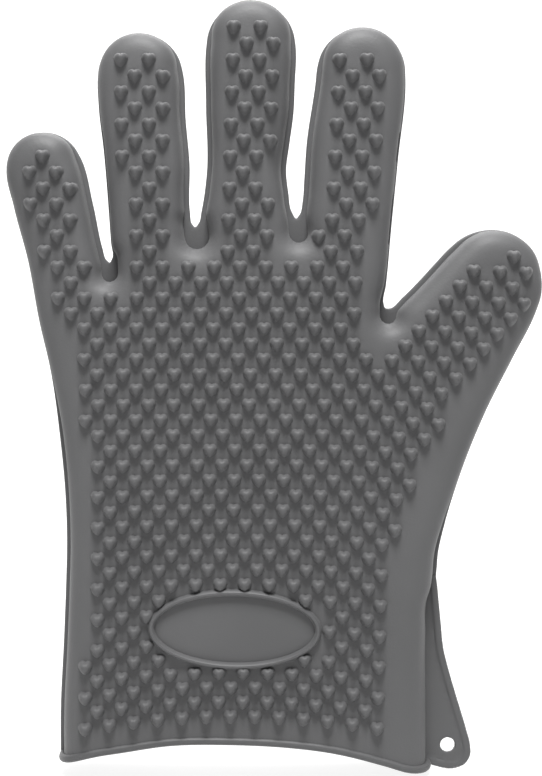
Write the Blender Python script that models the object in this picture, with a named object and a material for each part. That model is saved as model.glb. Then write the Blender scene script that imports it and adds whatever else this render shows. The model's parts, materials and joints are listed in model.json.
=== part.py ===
"""Heat resistant glove: a hollow five-finger silicone moulding.

Units are metres, +Z runs from the cuff to the fingertips and -Y is the palm side.
The thumb is on the +X side. The parting line of the moulding is the plane Y = 0.
Run with: blender --background --python part.py
"""

import math

import bmesh
import bpy
from mathutils import Matrix, Vector

MM = 0.001

# Moulding
WALL = 1.6 * MM
FLANGE_WIDTH = 2.2 * MM
FLANGE_THICKNESS = 1.4 * MM
GAP = 0.3 * MM
KNUCKLE_HALF_DEPTH = 11.0 * MM
CUFF_HALF_DEPTH = 13.5 * MM
TIP_HALF_DEPTH = 10.5 * MM
EDGE_ROUND = 12.0 * MM
ROUNDNESS = 2.3
RING_POINTS = 22
TIP_ANGLES = (24, 45, 64, 80)
DIGIT_STEPS = 4
PLATE_EDGE = 1.3
WELD = 0.00001

# Each digit runs from a point inside the palm to the middle of its round tip. Points are (X, Z).
# half_widths are those of the parting flange at the palm, halfway and at the tip.
# folds are distances back from the end of the tip, nearest the tip first, with the largest curl.
DIGITS = {
    "pinky": {
        "palm": (-67.4 * MM, 161.0 * MM),
        "tip": (-79.8 * MM, 211.1 * MM),
        "half_widths": (13.4 * MM, 13.3 * MM, 13.2 * MM),
        "folds": (("tip", 13.0 * MM, 35), ("middle", 25.5 * MM, 40), ("base", 38.0 * MM, 42)),
    },
    "ring": {
        "palm": (-41.3 * MM, 161.0 * MM),
        "tip": (-46.4 * MM, 243.8 * MM),
        "half_widths": (14.3 * MM, 14.4 * MM, 14.9 * MM),
        "folds": (("tip", 20.0 * MM, 40), ("middle", 39.0 * MM, 55), ("base", 58.0 * MM, 55)),
    },
    "middle": {
        "palm": (-11.0 * MM, 161.0 * MM),
        "tip": (-7.6 * MM, 254.6 * MM),
        "half_widths": (14.8 * MM, 13.9 * MM, 15.5 * MM),
        "folds": (("tip", 22.0 * MM, 40), ("middle", 44.0 * MM, 55), ("base", 66.0 * MM, 55)),
    },
    "index": {
        "palm": (22.6 * MM, 161.0 * MM),
        "tip": (30.9 * MM, 245.3 * MM),
        "half_widths": (15.6 * MM, 15.8 * MM, 15.5 * MM),
        "folds": (("tip", 19.5 * MM, 40), ("middle", 38.5 * MM, 55), ("base", 57.5 * MM, 55)),
    },
    "thumb": {
        "palm": (36.0 * MM, 113.5 * MM),
        "tip": (77.5 * MM, 173.8 * MM),
        "half_widths": (31.0 * MM, 23.3 * MM, 16.0 * MM),
        "folds": (("tip", 19.5 * MM, 45), ("base", 38.5 * MM, 45)),
    },
}
BACK_BEND = 10
FOLD_WAIST = 1.0 * MM
FOLD_REACH = 20.0 * MM
FOLD_SIDE_ROOM = 1.0 * MM

# Palm and cuff in plan, in millimetres: height, left side and right side of the parting flange
PALM_PLAN = (
    (0.0, -74.4, 54.6),
    (46.8, -73.0, 54.6),
    (67.7, -72.2, 54.6),
    (80.6, -71.9, 58.3),
    (98.8, -72.5, 62.6),
    (116.9, -74.2, 58.0),
    (142.4, -77.8, 44.0),
    (160.0, -81.6, 39.0),
)
PALM_TOP = 172.0 * MM
PALM_TOP_ANGLES = (30, 55, 75, 87)
PALM_TOP_INSET = 4.0 * MM
BELOW_CUFF = -12.0 * MM
CUT_REACH = 400.0 * MM

# Each finger's root is its own piece from just above the palm to its base fold
ROOT_BOTTOM = 175.0 * MM
ROOT_SIDES = (
    ("pinky", -100.0 * MM, -57.3 * MM),
    ("ring", -57.3 * MM, -27.3 * MM),
    ("middle", -27.3 * MM, 8.3 * MM),
    ("index", 8.3 * MM, 60.0 * MM),
)

# Cuff edge, an arch in the plane of the palm: (X, Z) of its ends and crown
CUFF_LEFT = (-74.0 * MM, 5.0 * MM)
CUFF_CROWN = (-14.0 * MM, 13.0 * MM)
CUFF_RIGHT = (53.0 * MM, 1.5 * MM)
HEM_RADIUS = 1.4 * MM
HEM_SIDE_POINTS = 20
HEM_FLAT_PARTS = 10
EDGE_POINTS = 48
EDGE_REACH = 100.0 * MM
EDGE_DROP = 30.0 * MM
EDGE_HALF_DEPTH = 40.0 * MM

# Web membranes, in millimetres: the two digits, the lowest point of the free edge, and where that
# edge meets the first and the second digit
WEBS = (
    ("pinky", "ring", (-57.3, 178.6), (-60.2, 187.0), (-58.8, 199.5)),
    ("ring", "middle", (-27.3, 191.2), (-29.3, 200.0), (-24.6, 202.5)),
    ("middle", "index", (8.3, 194.4), (5.2, 202.5), (10.8, 202.5)),
    ("index", "thumb", (41.0, 163.2), (42.0, 202.0), (47.5, 170.0)),
)
WEB_EDGE_RADIUS = 2.2
WEB_HALF_WIDTH = 9.0
WEB_BOTTOM = 160.0
WEB_EDGE_TURNS = (180, 210, 240, 270, 300, 330, 360)
PINKY_FLANGE = ((-83.0, 165.0), (-87.6, 189.0), (-80.0, 189.0), (-78.0, 165.0))

# Hanging tab, (X, Z) in millimetres
TAB_HINGE_X = 55.4 * MM
TAB_ROOT_GAP = 0.8 * MM
TAB_OUTLINE = (
    (56.2, 70.0), (57.8, 62.0), (59.5, 44.3), (61.8, 35.0), (67.4, 16.1), (68.9, 10.6),
    (68.9, 7.0), (67.2, 4.2), (64.1, 2.8), (56.2, 3.8),
)
TAB_FIELD = (
    (50.0, 66.0), (56.6, 60.0), (56.9, 44.0), (59.2, 34.0), (64.6, 16.0), (65.9, 10.4),
    (65.6, 7.4), (63.6, 5.8), (50.0, 6.8),
)
TAB_STRIP = ((54.9, 66.0), (55.9, 66.0), (55.9, 5.0), (54.9, 5.0))
TAB_THICKNESS = 2.8 * MM
TAB_MEMBRANE = 1.2 * MM
TAB_HOLE = (60.8 * MM, 10.8 * MM)
TAB_HOLE_RADIUS = 3.0 * MM

# Badge on the palm side of the cuff
BADGE_CENTRE = (-13.0 * MM, 53.3 * MM)
BADGE_HALF_SIZE = (29.4 * MM, 13.5 * MM)
BADGE_RIM_WIDTH = 1.6 * MM
BADGE_RIM_HEIGHT = 1.8 * MM
BADGE_FIELD_THICKNESS = 0.7 * MM
BADGE_POINTS = 36


def clear_scene():
    for item in list(bpy.data.objects):
        bpy.data.objects.remove(item, do_unlink=True)


def new_collection(name):
    collection = bpy.data.collections.new(name)
    bpy.context.scene.collection.children.link(collection)
    return collection


def silicone(name, colour, roughness):
    """A matt grey silicone rubber."""
    material = bpy.data.materials.new(name)
    material.use_nodes = True
    shader = material.node_tree.nodes["Principled BSDF"]
    shader.inputs["Base Color"].default_value = (colour, colour, colour, 1)
    shader.inputs["Roughness"].default_value = roughness
    shader.inputs["Metallic"].default_value = 0.0
    material.diffuse_color = (colour, colour, colour, 1)
    return material


def as_mesh(source):
    """A mesh object in place of a curve or of an object with modifiers, its seams welded."""
    bpy.context.view_layer.update()
    evaluated = source.evaluated_get(bpy.context.evaluated_depsgraph_get())
    mesh = bpy.data.meshes.new_from_object(evaluated)
    name = source.name
    bpy.data.objects.remove(source)
    shape = bpy.data.objects.new(name, mesh)
    TOOLS.objects.link(shape)
    work = bmesh.new()
    work.from_mesh(mesh)
    bmesh.ops.remove_doubles(work, verts=work.verts, dist=WELD)
    bmesh.ops.recalc_face_normals(work, faces=work.faces)
    work.to_mesh(mesh)
    work.free()
    return shape


def copy_of(source):
    shape = source.copy()
    shape.data = source.data.copy()
    TOOLS.objects.link(shape)
    return shape


def combine(shape, tools, operation):
    """The shape after one exact Boolean with each tool."""
    for tool in tools:
        boolean = shape.modifiers.new(operation.lower(), "BOOLEAN")
        boolean.operation = operation
        boolean.solver = "EXACT"
        boolean.object = tool
    return as_mesh(shape)


def flat_oval(half_width, half_depth, count):
    """Points (X, Y) around an oval with flat front and back and rounded sides."""
    side = min(EDGE_ROUND, half_width, half_depth * PLATE_EDGE)
    power = 2 / ROUNDNESS
    points = []
    for step in range(count):
        turn = 2 * math.pi * (step + 0.5) / count
        across = math.cos(turn)
        through = math.sin(turn)
        x = math.copysign(half_width - side + side * abs(across) ** power, across)
        y = math.copysign(half_depth * abs(through) ** power, through)
        points.append((x, y))
    return points


def section(centre_x, half_width, half_depth, height):
    """One section of a loft, in the plane Z = height."""
    ring = flat_oval(half_width, half_depth, RING_POINTS)
    return [Vector((centre_x + x, y, height)) for x, y in ring]


def loft(name, sections):
    """A closed solid through sections that all have the same number of points."""
    points = [point for ring in sections for point in ring]
    faces = [tuple(reversed(range(RING_POINTS)))]
    for level in range(len(sections) - 1):
        for step in range(RING_POINTS):
            here = level * RING_POINTS + step
            beside = level * RING_POINTS + (step + 1) % RING_POINTS
            faces.append((here, beside, beside + RING_POINTS, here + RING_POINTS))
    faces.append(tuple(range(len(points) - RING_POINTS, len(points))))
    mesh = bpy.data.meshes.new(name)
    mesh.from_pydata(points, [], faces)
    shape = bpy.data.objects.new(name, mesh)
    TOOLS.objects.link(shape)
    return as_mesh(shape)


def flat_outline(name, outline, half_thickness, scale=1.0):
    """A plate in the plane of the palm from (X, Z) points: a filled 2D curve, made a mesh."""
    curve = bpy.data.curves.new(name, "CURVE")
    curve.dimensions = "2D"
    curve.fill_mode = "BOTH"
    curve.extrude = half_thickness
    spline = curve.splines.new("POLY")
    spline.points.add(len(outline) - 1)
    for point, (x, z) in zip(spline.points, outline):
        point.co = (x * scale, z * scale, 0, 1)
    spline.use_cyclic_u = True
    flat = bpy.data.objects.new(name, curve)
    TOOLS.objects.link(flat)
    shape = as_mesh(flat)
    shape.data.transform(Matrix.Rotation(math.pi / 2, 4, "X"))
    return shape


def box(name, low, high):
    """A block between two corners."""
    work = bmesh.new()
    bmesh.ops.create_cube(work, size=1)
    size = Vector(high) - Vector(low)
    middle = (Vector(high) + Vector(low)) / 2
    place = Matrix.Translation(middle) @ Matrix.Diagonal((*size, 1))
    bmesh.ops.transform(work, matrix=place, verts=work.verts)
    mesh = bpy.data.meshes.new(name)
    work.to_mesh(mesh)
    work.free()
    shape = bpy.data.objects.new(name, mesh)
    TOOLS.objects.link(shape)
    return shape


def half_depth_at(height):
    """Half the depth of the palm: it grows evenly from the knuckles down to the cuff."""
    rise = min(height / PALM_TOP, 1)
    return CUFF_HALF_DEPTH + (KNUCKLE_HALF_DEPTH - CUFF_HALF_DEPTH) * rise


def palm_loft(name, grow, flat=0.0):
    """The palm and cuff as one solid. grow is the offset of its surface; flat makes it a plate."""
    sections = []
    for height, left, right in (PALM_PLAN[0], *PALM_PLAN):
        level = height * MM if sections else BELOW_CUFF + grow
        half_width = (right - left) / 2 * MM - FLANGE_WIDTH + grow
        depth = flat or half_depth_at(height * MM) + grow
        sections.append(section((left + right) / 2 * MM, half_width, depth, level))
    rise = PALM_TOP + grow - level
    for angle in PALM_TOP_ANGLES:
        turn = math.radians(angle)
        height = level + rise * math.sin(turn)
        inset = PALM_TOP_INSET * (1 - math.cos(turn))
        depth = flat or (half_depth_at(height) + grow) * math.cos(turn)
        sections.append(section((left + right) / 2 * MM, half_width - inset, depth, height))
    return loft(name, sections)


class Digit:
    """A finger or thumb. Its own frame has +Z along it, and +X across it in the plane of the palm."""

    def __init__(self, name):
        values = DIGITS[name]
        palm = Vector((values["palm"][0], 0, values["palm"][1]))
        tip = Vector((values["tip"][0], 0, values["tip"][1]))
        self.name = name
        self.reach = (tip - palm).length
        self.half_widths = values["half_widths"]
        self.tip_radius = values["half_widths"][2]
        self.lean = math.atan2(tip.x - palm.x, tip.z - palm.z)
        self.frame = Matrix.Translation(palm) @ Matrix.Rotation(self.lean, 4, "Y")
        end = self.reach + self.tip_radius
        self.folds = [(part, end - back, curl) for part, back, curl in values["folds"]]

    def width_at(self, along):
        """Half the flange's width: a parabola through the three given values."""
        low, middle, high = self.half_widths
        share = along / self.reach
        rest = 1 - share
        ends = low * rest * (rest - share) + high * share * (share - rest)
        return ends + 4 * middle * share * rest

    def loft(self, name, grow, flat=0.0):
        """The digit as one solid. grow is the offset of its surface; flat makes it a plate."""
        out = grow - FLANGE_WIDTH
        root = self.width_at(0) + out
        sections = [section(0, root, flat or KNUCKLE_HALF_DEPTH + grow, -MM - abs(grow))]
        for step in range(DIGIT_STEPS + 1):
            along = self.reach * step / DIGIT_STEPS
            depth = KNUCKLE_HALF_DEPTH + (TIP_HALF_DEPTH - KNUCKLE_HALF_DEPTH) * step / DIGIT_STEPS
            sections.append(section(0, self.width_at(along) + out, flat or depth + grow, along))
        for angle in TIP_ANGLES:
            turn = math.radians(angle)
            radius = (self.tip_radius + out) * math.cos(turn)
            depth = flat or (TIP_HALF_DEPTH + grow) * math.cos(turn)
            along = self.reach + (self.tip_radius + out) * math.sin(turn)
            sections.append(section(0, radius, depth, along))
        shape = loft(name, sections)
        shape.data.transform(self.frame)
        return shape

    def hinge(self, along):
        """The frame of a fold: +X is its axis."""
        return self.frame @ Matrix.Translation((0, 0, along))

    def prism(self, name, along, outline):
        """A solid right across the digit from (distance past the fold, depth) points."""
        shape = flat_outline(name, outline, self.width_at(along) + FOLD_SIDE_ROOM)
        # the plate lies in XZ with its thickness along Y: turn it so that X runs along the digit
        turn = Matrix(((0, 1, 0, 0), (0, 0, 1, 0), (1, 0, 0, 0), (0, 0, 0, 1)))
        shape.data.transform(self.hinge(along) @ turn)
        return shape

    def fold_sides(self, curl, shrink=0.0):
        """Half lengths of the hourglass that one fold needs: at the palm side and at the back."""
        front = FOLD_REACH * math.tan(math.radians(curl / 2)) + FOLD_WAIST - shrink
        back = FOLD_REACH * math.tan(math.radians(BACK_BEND / 2)) + FOLD_WAIST - shrink
        return front, back, FOLD_WAIST - shrink

    def fold_room(self, along, curl):
        front, back, waist = self.fold_sides(curl, GAP)
        outline = (
            (-front, -FOLD_REACH), (front, -FOLD_REACH), (waist, 0),
            (back, FOLD_REACH), (-back, FOLD_REACH), (-waist, 0),
        )
        return self.prism("fold_room", along, outline)

    def beyond(self, along, curl, side):
        """The room past one face of a fold: side is -1 for its near face, 1 for its far face."""
        front, back, waist = self.fold_sides(curl)
        outline = (
            (side * front, -FOLD_REACH), (side * waist, 0), (side * back, FOLD_REACH),
            (self.reach, FOLD_REACH), (self.reach, -FOLD_REACH),
        )
        return self.prism("beyond", along, outline)


def finish(shape, name, material, frame=None):
    """Names a sub-part, gives it its material and puts its origin on its joint."""
    shape.name = name
    shape.data.name = name
    shape.data.materials.clear()
    shape.data.materials.append(material)
    for face in shape.data.polygons:
        face.material_index = 0
    if frame is not None:
        shape.data.transform(frame.inverted())
        shape.matrix_world = frame
    TOOLS.objects.unlink(shape)
    PARTS.objects.link(shape)
    return shape


def make_digit(digit):
    """The digit's hollow pieces beyond its base fold, and the fold rings between them."""
    shell = digit.loft("shell", 0)
    plate = digit.loft("plate", FLANGE_WIDTH, FLANGE_THICKNESS / 2)
    cavity = digit.loft("cavity", -WALL)
    shell = combine(shell, [plate], "UNION")
    shell = combine(shell, [cavity], "DIFFERENCE")
    for index, (part, along, curl) in enumerate(digit.folds):
        frame = digit.hinge(along)
        fold = combine(copy_of(shell), [digit.fold_room(along, curl)], "INTERSECT")
        piece = combine(copy_of(shell), [digit.beyond(along, curl, 1)], "INTERSECT")
        if index > 0:
            next_part, next_along, next_curl = digit.folds[index - 1]
            piece = combine(piece, [digit.beyond(next_along, next_curl, -1)], "DIFFERENCE")
        finish(piece, f"{digit.name}_{part}", BODY, frame)
        finish(fold, f"{digit.name}_{part}_fold", FOLD, frame)


def cuff_edge(x):
    """Height of the cuff's edge: two quarter-wave arcs meeting at the crown."""
    end = CUFF_LEFT if x < CUFF_CROWN[0] else CUFF_RIGHT
    share = min(abs((x - CUFF_CROWN[0]) / (end[0] - CUFF_CROWN[0])), 1)
    return end[1] + (CUFF_CROWN[1] - end[1]) * math.cos(math.pi / 2 * share)


def below_cuff(name, rise):
    """All the room under the cuff's edge, raised by rise."""
    points = [(-EDGE_REACH, -EDGE_DROP)]
    for step in range(EDGE_POINTS):
        x = -EDGE_REACH + 2 * EDGE_REACH * step / (EDGE_POINTS - 1)
        points.append((x, cuff_edge(x) + rise))
    points.append((EDGE_REACH, -EDGE_DROP))
    return flat_outline(name, points, EDGE_HALF_DEPTH)


def make_palm(digits):
    """The finger roots, and the palm side and the back of the hand, which meet at the parting line."""
    half_plate = FLANGE_THICKNESS / 2
    hand = palm_loft("hand", 0)
    solids = [digit.loft(digit.name, 0) for digit in digits.values()]
    solids.append(palm_loft("palm_plate", FLANGE_WIDTH, half_plate))
    solids.append(digits["thumb"].loft("thumb_plate", FLANGE_WIDTH, half_plate))
    solids.append(flat_outline("pinky_plate", PINKY_FLANGE, half_plate, MM))
    cavities = [palm_loft("palm_cavity", -WALL)]
    cavities += [digit.loft("cavity", -WALL) for digit in digits.values()]
    hand = combine(hand, solids, "UNION")
    hand = combine(hand, cavities, "DIFFERENCE")
    cuts = [below_cuff("below_cuff", 2 * HEM_RADIUS + GAP)]
    for digit in digits.values():
        part, along, curl = digit.folds[-1]
        cuts.append(digit.beyond(along, curl, -1))
    hand = combine(hand, cuts, "DIFFERENCE")
    low = (-CUT_REACH, -CUT_REACH, -CUT_REACH)
    high = (CUT_REACH, CUT_REACH, CUT_REACH)
    for name, left, right in ROOT_SIDES:
        root_room = box("root_room", (left, low[1], ROOT_BOTTOM + GAP / 2), (right, *high[1:]))
        root = combine(copy_of(hand), [root_room], "INTERSECT")
        finish(root, f"{name}_root", BODY)
    roots_room = box("roots_room", (low[0], low[1], ROOT_BOTTOM - GAP / 2), high)
    hand = combine(hand, [roots_room], "DIFFERENCE")
    front_room = box("front_room", low, (CUT_REACH, -GAP / 2, CUT_REACH))
    back_room = box("back_room", (-CUT_REACH, GAP / 2, -CUT_REACH), high)
    front = combine(copy_of(hand), [front_room], "INTERSECT")
    back = combine(hand, [back_room], "INTERSECT")
    finish(front, "palm_side", BODY)
    finish(back, "hand_back", BODY)


def web_outline(bottom, first_top, second_top):
    """The membrane's outline: a round-bottomed notch, and sides that reach into both digits."""
    x, z = bottom
    points = [(x - WEB_HALF_WIDTH, WEB_BOTTOM), (x - WEB_HALF_WIDTH, first_top[1]), first_top]
    for turn in WEB_EDGE_TURNS:
        across = WEB_EDGE_RADIUS * math.cos(math.radians(turn))
        up = WEB_EDGE_RADIUS * (1 + math.sin(math.radians(turn)))
        points.append((x + across, z + up))
    points += [second_top, (x + WEB_HALF_WIDTH, second_top[1]), (x + WEB_HALF_WIDTH, WEB_BOTTOM)]
    return points


def make_webs(digits):
    """Each membrane fills what the palm and its two digits leave open."""
    for first, second, *edge in WEBS:
        solids = [palm_loft("near_palm", FLANGE_WIDTH + GAP, FLANGE_THICKNESS / 2 + GAP)]
        for digit in (digits[first], digits[second]):
            part, along, curl = digit.folds[-1]
            if digit.name == "thumb":
                solids.append(digit.loft("near_digit", FLANGE_WIDTH + GAP, FLANGE_THICKNESS / 2 + GAP))
            else:
                solids.append(digit.loft("near_digit", GAP))
            solids.append(digit.beyond(along, curl, -1))
        web = flat_outline("web", web_outline(*edge), FLANGE_THICKNESS / 2, MM)
        web = combine(web, solids, "DIFFERENCE")
        finish(web, f"{first}_{second}_web", WEB)


def make_hem():
    """The bead around the mouth of the cuff, following its arched edge."""
    left, right = PALM_PLAN[0][1:]
    middle = (left + right) / 2 * MM
    half_width = (right - left) / 2 * MM - FLANGE_WIDTH - WALL / 2
    depth = CUFF_HALF_DEPTH - WALL / 2
    oval = flat_oval(half_width, depth, HEM_SIDE_POINTS)
    flat = half_width - EDGE_ROUND
    points = []
    for step in range(len(oval)):
        here = oval[step]
        after = oval[(step + 1) % len(oval)]
        long = abs(after[0] - here[0]) > flat
        parts = HEM_FLAT_PARTS if long else 1
        for part in range(parts):
            share = part / parts
            x = middle + here[0] + (after[0] - here[0]) * share
            y = here[1] + (after[1] - here[1]) * share
            points.append((x, y, cuff_edge(x) + HEM_RADIUS))
    curve = bpy.data.curves.new("cuff_hem", "CURVE")
    curve.dimensions = "3D"
    curve.bevel_depth = HEM_RADIUS
    curve.bevel_resolution = 2
    spline = curve.splines.new("POLY")
    spline.points.add(len(points) - 1)
    for point, place in zip(spline.points, points):
        point.co = (*place, 1)
    spline.use_cyclic_u = True
    hem = bpy.data.objects.new("cuff_hem", curve)
    TOOLS.objects.link(hem)
    finish(as_mesh(hem), "cuff_hem", HEM)


def make_tab():
    """The hanging tab: a thin membrane with a thick outer edge and a hole, on a flexing root."""
    frame = Matrix.Translation((TAB_HINGE_X, 0, TAB_HOLE[1]))
    tab = flat_outline("hanging_tab", TAB_OUTLINE, TAB_THICKNESS / 2, MM)
    depth = (TAB_THICKNESS - TAB_MEMBRANE) / 2
    pockets = []
    for side in (-1, 1):
        pocket = flat_outline("tab_pocket", TAB_FIELD, depth, MM)
        pocket.data.transform(Matrix.Translation((0, side * (TAB_MEMBRANE / 2 + depth), 0)))
        pockets.append(pocket)
    hole = [
        (
            TAB_HOLE[0] + TAB_HOLE_RADIUS * math.cos(math.radians(turn)),
            TAB_HOLE[1] + TAB_HOLE_RADIUS * math.sin(math.radians(turn)),
        )
        for turn in range(0, 360, 15)
    ]
    pockets.append(flat_outline("tab_hole", hole, TAB_THICKNESS))
    tab = combine(tab, pockets, "DIFFERENCE")
    finish(tab, "hanging_tab", TAB, frame)
    strip = flat_outline("tab_root_fold", TAB_STRIP, TAB_MEMBRANE / 2, MM)
    finish(strip, "tab_root_fold", FOLD, frame)


def oval(half_x, half_z):
    points = []
    for step in range(BADGE_POINTS):
        turn = 2 * math.pi * step / BADGE_POINTS
        points.append((half_x * math.cos(turn), half_z * math.sin(turn)))
    return points


def make_badge():
    """A blank oval badge: a raised rim around a thin field, on the sloping palm side of the cuff."""
    half_x, half_z = BADGE_HALF_SIZE
    depth = half_depth_at(BADGE_CENTRE[1])
    slope = math.atan2(CUFF_HALF_DEPTH - KNUCKLE_HALF_DEPTH, PALM_TOP)
    place = Matrix.Translation((BADGE_CENTRE[0], -depth - GAP, BADGE_CENTRE[1]))
    place = place @ Matrix.Rotation(-slope, 4, "X")
    rim = flat_outline("badge_rim", oval(half_x, half_z), BADGE_RIM_HEIGHT / 2)
    inner = oval(half_x - BADGE_RIM_WIDTH, half_z - BADGE_RIM_WIDTH)
    rim = combine(rim, [flat_outline("badge_inside", inner, BADGE_RIM_HEIGHT)], "DIFFERENCE")
    rim.data.transform(place @ Matrix.Translation((0, -BADGE_RIM_HEIGHT / 2, 0)))
    finish(rim, "badge_rim", BADGE)
    inner = oval(half_x - BADGE_RIM_WIDTH - GAP, half_z - BADGE_RIM_WIDTH - GAP)
    field = flat_outline("badge_field", inner, BADGE_FIELD_THICKNESS / 2)
    field.data.transform(place @ Matrix.Translation((0, -BADGE_FIELD_THICKNESS / 2, 0)))
    finish(field, "badge_field", BADGE)


def settle(parts):
    """Moves the whole glove so that the origin is at the middle of its underside."""
    bpy.context.view_layer.update()
    corners = [part.matrix_world @ vertex.co for part in parts for vertex in part.data.vertices]
    low = [min(corner[axis] for corner in corners) for axis in range(3)]
    high = [max(corner[axis] for corner in corners) for axis in range(3)]
    shift = Matrix.Translation((-(low[0] + high[0]) / 2, -(low[1] + high[1]) / 2, -low[2]))
    for part in parts:
        part.matrix_world = shift @ part.matrix_world


def main():
    digits = {name: Digit(name) for name in DIGITS}
    make_palm(digits)
    make_webs(digits)
    for digit in digits.values():
        make_digit(digit)
    make_hem()
    make_tab()
    make_badge()
    for tool in list(TOOLS.objects):
        bpy.data.objects.remove(tool)
    settle(PARTS.objects)


clear_scene()
PARTS = new_collection("heat_resistant_glove")
TOOLS = new_collection("cutters")
BODY = silicone("silicone_body", 0.16, 0.55)
FOLD = silicone("silicone_fold", 0.13, 0.6)
WEB = silicone("silicone_web", 0.19, 0.5)
HEM = silicone("silicone_hem", 0.14, 0.5)
TAB = silicone("silicone_tab", 0.17, 0.5)
BADGE = silicone("silicone_badge", 0.2, 0.5)
main()
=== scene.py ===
import json
import math

import bpy
import numpy as np
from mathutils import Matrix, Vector
from mathutils.geometry import delaunay_2d_cdt


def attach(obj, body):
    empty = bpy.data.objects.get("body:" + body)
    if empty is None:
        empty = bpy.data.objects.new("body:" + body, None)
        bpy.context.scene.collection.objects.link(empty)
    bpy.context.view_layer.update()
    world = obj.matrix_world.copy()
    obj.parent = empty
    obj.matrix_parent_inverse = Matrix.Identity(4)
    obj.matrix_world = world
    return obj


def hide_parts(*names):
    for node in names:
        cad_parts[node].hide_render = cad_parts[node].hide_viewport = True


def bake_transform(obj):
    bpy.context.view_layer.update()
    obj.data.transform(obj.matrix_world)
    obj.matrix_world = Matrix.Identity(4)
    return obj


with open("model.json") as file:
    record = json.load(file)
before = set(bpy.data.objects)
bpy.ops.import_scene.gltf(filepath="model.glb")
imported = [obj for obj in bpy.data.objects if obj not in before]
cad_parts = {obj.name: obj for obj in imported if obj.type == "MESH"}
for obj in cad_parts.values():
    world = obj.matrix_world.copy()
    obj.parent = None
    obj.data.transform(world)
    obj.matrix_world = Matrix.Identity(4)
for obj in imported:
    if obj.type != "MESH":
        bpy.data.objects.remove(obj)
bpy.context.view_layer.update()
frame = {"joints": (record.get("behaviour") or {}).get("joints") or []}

# Everything below is in millimetres in the plane of the glove: X across it and Z from the cuff to the
# fingertips, with Y = 0 on the parting line. place() turns it into the frame's metres.
TAB_HINGE = (55.4, 10.8)
JOINTS = {joint["name"]: joint for joint in frame["joints"]}
TAB_AT = JOINTS["tab_fold"]["pos_m"]
SHIFT = np.array((TAB_AT[0] - TAB_HINGE[0] / 1000, TAB_AT[1], TAB_AT[2] - TAB_HINGE[1] / 1000))

# Moulding
FLANGE = 1.8
TIP_FLANGE = 0.6
FLANGE_HALF = 0.7
WALL = 1.6
EDGE_ROUND = 10.5
ROUNDNESS = 2.7
CUFF_HALF_DEPTH = 13.5
KNUCKLE_HALF_DEPTH = 11.0
TIP_HALF_DEPTH = 10.5
KNUCKLE_HEIGHT = 172.0
TIP_HEIGHT = 262.0
BLEND = 1.0

# The silhouette, up the outer side, round each digit and down the thumb side: points and round tips
BELOW = -40.0
SILHOUETTE = (
    ("points", (-74.0, BELOW), (-74.0, 0.0), (-74.0, 25.5), (-73.0, 46.8), (-72.2, 67.7), (-71.9, 80.6),
     (-72.5, 98.8), (-74.2, 116.9), (-77.8, 142.2), (-81.4, 157.7), (-85.6, 180.1), (-90.4, 198.2)),
    ("tip", (-79.8, 211.1), 13.2, 176, 38),
    ("points", (-67.4, 216.0), (-62.8, 199.3), (-59.4, 183.5), (-58.3, 180.0), (-57.0, 178.9),
     (-56.1, 180.3), (-56.5, 185.5), (-59.1, 218.1), (-60.9, 234.2)),
    ("tip", (-46.3, 243.9), 14.8, 178, 10),
    ("points", (-30.4, 228.2), (-29.1, 213.2), (-28.9, 196.0), (-28.3, 192.4), (-27.1, 191.3),
     (-25.9, 192.6), (-25.0, 196.5), (-23.1, 210.1), (-23.4, 234.2)),
    ("tip", (-7.7, 254.6), 15.5, 178, 4),
    ("points", (7.6, 240.5), (7.2, 231.4), (5.7, 220.0), (4.6, 211.0), (5.4, 203.0), (6.6, 196.4),
     (8.1, 194.3), (9.4, 195.8), (10.3, 200.0), (10.9, 208.0), (11.7, 220.0), (14.7, 240.5)),
    ("tip", (30.8, 245.3), 15.4, 170, -2),
    ("points", (43.6, 214.3), (41.4, 192.0), (39.4, 170.7), (38.6, 164.6), (39.2, 163.0), (40.6, 162.9),
     (45.2, 166.7), (50.8, 172.3), (56.4, 178.4), (61.0, 183.3), (65.8, 187.3), (71.4, 189.7), (76.7, 190.3),
     (84.0, 188.6), (90.6, 183.0), (93.4, 175.0), (93.6, 167.6), (91.6, 161.4), (83.8, 146.0), (74.1, 126.8),
     (64.7, 103.3), (59.7, 86.9), (57.6, 77.5), (57.1, 71.5), (56.4, 66.0), (55.0, 61.5), (54.6, 50.0),
     (54.6, 20.0), (54.6, 0.0), (54.6, BELOW)),
)
TIP_TURN = 12

# Where the thin membrane between two digits ends: the crotch, the middle of its round foot, its radius
WEBS = (
    ((-57.0, 180.0), (-56.7, 174.9), 3.0),
    ((-27.1, 192.3), (-26.4, 187.6), 4.3),
    ((8.2, 195.5), (8.9, 188.8), 3.3),
    ((40.2, 164.0), (40.0, 160.4), 3.0),
)

# The flange is narrower round the fingertips and down the outer side of four digits: the middle of each
# round end (X, Z), the way the digit points, its outer side (-1 left, 1 right, 0 neither), and how far out
# from the digit's middle that side reaches
ENDS = (
    ((-79.8, 211.1), (-0.24, 0.97), -1, 40.0),
    ((-46.3, 243.9), (-0.06, 1.0), -1, 14.8),
    ((-7.7, 254.6), (0.04, 1.0), 0, 0.0),
    ((30.8, 245.3), (0.10, 0.99), 1, 17.5),
    ((77.3, 174.0), (0.57, 0.82), 1, 60.0),
)
NARROW_REACH = 95.0
NARROW_FADE = 30.0
SIDE_REACH_FADE = 1.5
SIDE_FADE = 8.0
TIP_REACH = 20.0

# Cuff edge
CUFF_EDGE = ((-90.0, 2.0), (-74.0, 6.2), (-62.0, 9.6), (-51.0, 11.4), (-36.0, 13.6), (-14.0, 14.0),
             (5.6, 13.0), (20.0, 11.2), (38.9, 6.6), (46.5, 4.4), (54.6, 3.6), (70.0, 4.0))
HEM_RADIUS = 1.35
HEM_OVERHANG = 0.2
HEM_SINK = 0.35
HEM_FLAT_POINTS = 44
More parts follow.
